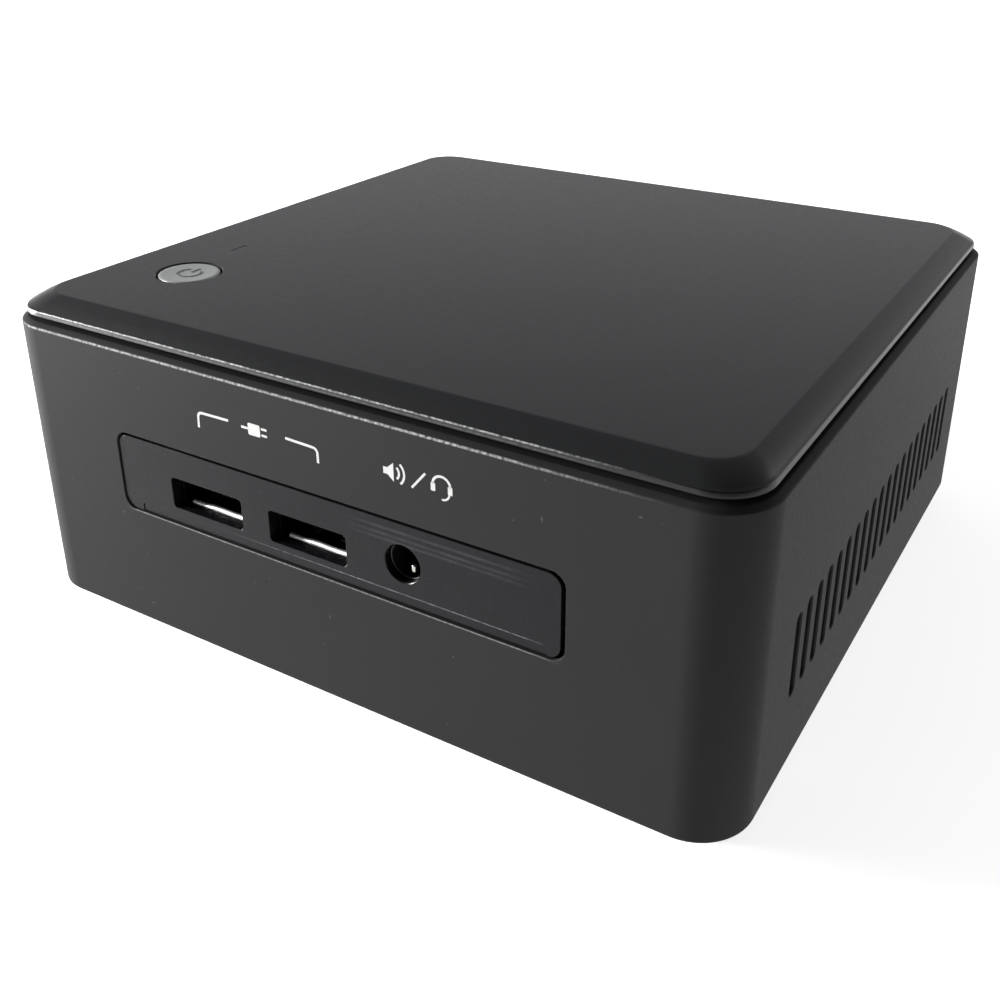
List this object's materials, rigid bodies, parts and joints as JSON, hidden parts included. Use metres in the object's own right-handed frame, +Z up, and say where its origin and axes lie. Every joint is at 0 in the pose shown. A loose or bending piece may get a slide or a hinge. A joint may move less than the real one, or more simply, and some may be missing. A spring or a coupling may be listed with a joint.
{
  "type": "mini desktop computer",
  "caption": "Palm-sized desktop computer: square plastic case with a bevelled push-fit lid, front sockets, side vents, top power button, internal blower and drive cage.",
  "frame": {"origin": "middle of the footprint, on the surface the rubber feet stand on", "axes": "+Z up, front face towards -Y, +X to the right as seen from the front"},
  "size_m": [0.115, 0.111, 0.051],
  "materials": {
    "case_plastic": "fine-grained moulded plastic, satin",
    "panel_plastic": "smooth semi-gloss moulded plastic",
    "button_plastic": "silver-grey satin paint",
    "guide_plastic": "natural moulded",
    "clear_plastic": "frosted clear acrylic",
    "cover_steel": "black powder coat",
    "foot_rubber": "matte",
    "screw_steel": "zinc-plated",
    "socket_steel": "nickel-plated sheet",
    "socket_plastic": "moulded, black",
    "pin_brass": "plated",
    "circuit_board": "solder mask",
    "copper": "bare copper",
    "fin_aluminium": "mill finish",
    "shaft_steel": "ground"
  },
  "bodies": {
    "chassis": {"activity_led": "clear_plastic", "activity_light_pipe": "clear_plastic", "antenna_lead_left": "socket_plastic", "antenna_lead_right": "socket_plastic", "antenna_left": "circuit_board", "antenna_right": "circuit_board", "blower_cover": "socket_plastic", "blower_housing": "socket_plastic", "board_screws": "screw_steel", "bottom_cover": "cover_steel", "button_guide": "guide_plastic", "chassis_shell": "case_plastic", "coin_cell": "socket_steel", "coin_cell_holder": "socket_plastic", "cover_screws": "screw_steel", "drive_cage": "cover_steel", "drive_header": "socket_plastic", "drive_plug": "socket_plastic", "drive_ribbon": "socket_plastic", "drive_screws": "screw_steel", "fan_bearing": "pin_brass", "fan_motor": "shaft_steel", "foot_front_left": "foot_rubber", "foot_front_right": "foot_rubber", "foot_rear_left": "foot_rubber", "foot_rear_right": "foot_rubber", "front_io_bezel": "panel_plastic", "front_port_shell_left": "socket_steel", "front_port_shell_right": "socket_steel", "front_port_tongue_left": "socket_plastic", "front_port_tongue_right": "socket_plastic", "headset_jack": "socket_plastic", "heat_pipe": "copper", "heatsink_fins": "fin_aluminium", "heatsink_plate": "copper", "infrared_receiver": "socket_plastic", "memory_module": "circuit_board", "memory_socket": "socket_plastic", "motherboard": "circuit_board", "network_jack_insert": "socket_plastic", "network_jack_shell": "socket_steel", "power_inlet": "socket_plastic", "power_inlet_pin": "pin_brass", "power_switch": "socket_steel", "processor": "circuit_board", "radio_card": "socket_steel", "radio_socket": "socket_plastic", "rear_io_panel": "case_plastic", "rear_port_shell": "socket_steel", "rear_port_tongue_lower": "socket_plastic", "rear_port_tongue_upper": "socket_plastic", "sound_jack": "socket_plastic", "storage_drive": "fin_aluminium", "top_lid": "case_plastic", "video_port_shell": "socket_steel", "video_port_tongue": "socket_plastic"},
    "button": {"power_button": "button_plastic", "power_switch_actuator": "guide_plastic"},
    "rotor": {"fan_impeller": "socket_plastic", "fan_shaft": "shaft_steel"}
  },
  "joints": [
    {"name": "power_button_press", "type": "slide", "parent": "chassis", "child": "button", "axis": [0, 0, -1], "range_m": [0, 0.0005], "stiffness_N_per_m": 900},
    {"name": "fan_spin", "type": "hinge", "parent": "chassis", "child": "rotor", "pos_m": [0.012, 0.01, 0.04], "axis": [0, 0, 1], "continuous": true}
  ]
}
